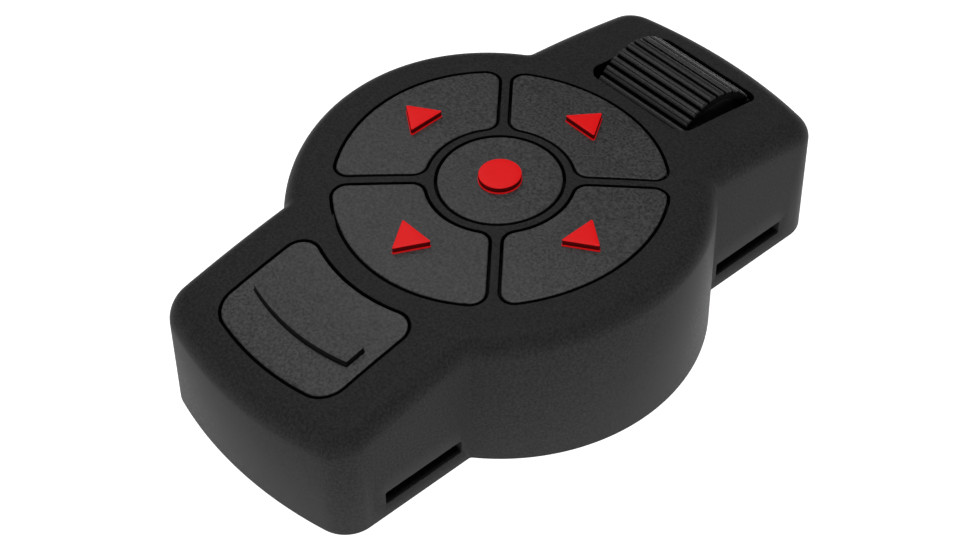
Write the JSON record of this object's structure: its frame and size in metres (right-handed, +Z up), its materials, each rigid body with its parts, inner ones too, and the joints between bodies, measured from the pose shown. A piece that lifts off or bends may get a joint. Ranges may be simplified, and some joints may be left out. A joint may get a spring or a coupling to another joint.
{
  "type": "hand controller",
  "caption": "Hand-held telescope controller: round pad of push buttons between two ears, one with a ridged key, one with a ribbed thumb wheel, and strap slots through both.",
  "frame": {"origin": "under the middle of the round pad, on the flat underside that the case rests on", "axes": "+Y along the body towards the thumb wheel, +Z up through the buttons, +X to the right when the wheel points away"},
  "size_m": [0.0694, 0.11, 0.029],
  "materials": {
    "case_plastic": "fine moulded grain, satin black",
    "button_plastic": "fine grained dark grey",
    "marker_red": "satin red",
    "wheel_rubber": "satin ribbed black",
    "inner_plastic": "plain moulded",
    "switch_plastic": "plain moulded",
    "nylon": "natural",
    "circuit_board": "green solder mask",
    "screw_steel": "plain",
    "bush_brass": "turned",
    "cell_jacket": "plain unprinted sleeve"
  },
  "bodies": {
    "housing": {"upper_case": "case_plastic", "base_cover": "case_plastic", "base_screws": "screw_steel", "battery_door": "case_plastic", "door_screw": "screw_steel", "battery_cell_left": "cell_jacket", "battery_cell_right": "cell_jacket", "terminal_plates": "screw_steel", "bridge_plate": "screw_steel", "button_frame": "inner_plastic", "frame_screws": "screw_steel", "main_board": "circuit_board", "board_screws": "screw_steel", "radio_module": "screw_steel", "control_chip": "switch_plastic", "ribbon_socket": "nylon", "encoder_ribbon": "nylon", "wheel_cradle": "inner_plastic", "cradle_screws": "screw_steel", "axle_bush_left": "bush_brass", "axle_bush_right": "bush_brass", "encoder_board": "circuit_board", "encoder_sensor": "switch_plastic", "east_switch": "switch_plastic", "north_switch": "switch_plastic", "west_switch": "switch_plastic", "south_switch": "switch_plastic", "centre_switch": "switch_plastic", "key_switch": "switch_plastic"},
    "north_press": {"north_button": "button_plastic", "north_arrow": "marker_red", "north_stem": "nylon"},
    "east_press": {"east_button": "button_plastic", "east_arrow": "marker_red", "east_stem": "nylon"},
    "south_press": {"south_button": "button_plastic", "south_arrow": "marker_red", "south_stem": "nylon"},
    "west_press": {"west_button": "button_plastic", "west_arrow": "marker_red", "west_stem": "nylon"},
    "centre_press": {"centre_button": "button_plastic", "centre_dot": "marker_red", "centre_stem": "nylon"},
    "key_press": {"ridge_key": "button_plastic", "key_stem": "nylon"},
    "wheel": {"wheel_hub": "inner_plastic", "wheel_tyre": "wheel_rubber", "wheel_axle": "screw_steel", "axle_clip": "screw_steel", "encoder_magnet": "screw_steel"}
  },
  "joints": [
    {"name": "north_button_press", "type": "slide", "parent": "housing", "child": "north_press", "axis": [0, 0, -1], "range_m": [0, 0.0008], "stiffness_N_per_m": 1500, "springref_m": -0.0003},
    {"name": "east_button_press", "type": "slide", "parent": "housing", "child": "east_press", "axis": [0, 0, -1], "range_m": [0, 0.0008], "stiffness_N_per_m": 1500, "springref_m": -0.0003},
    {"name": "south_button_press", "type": "slide", "parent": "housing", "child": "south_press", "axis": [0, 0, -1], "range_m": [0, 0.0008], "stiffness_N_per_m": 1500, "springref_m": -0.0003},
    {"name": "west_button_press", "type": "slide", "parent": "housing", "child": "west_press", "axis": [0, 0, -1], "range_m": [0, 0.0008], "stiffness_N_per_m": 1500, "springref_m": -0.0003},
    {"name": "centre_button_press", "type": "slide", "parent": "housing", "child": "centre_press", "axis": [0, 0, -1], "range_m": [0, 0.0008], "stiffness_N_per_m": 1500, "springref_m": -0.0003},
    {"name": "ridge_key_press", "type": "slide", "parent": "housing", "child": "key_press", "axis": [0, 0, -1], "range_m": [0, 0.0008], "stiffness_N_per_m": 1500, "springref_m": -0.0003},
    {"name": "thumb_wheel_spin", "type": "hinge", "parent": "housing", "child": "wheel", "pos_m": [0, 0.0391, 0.0185], "axis": [1, 0, 0], "continuous": true}
  ]
}
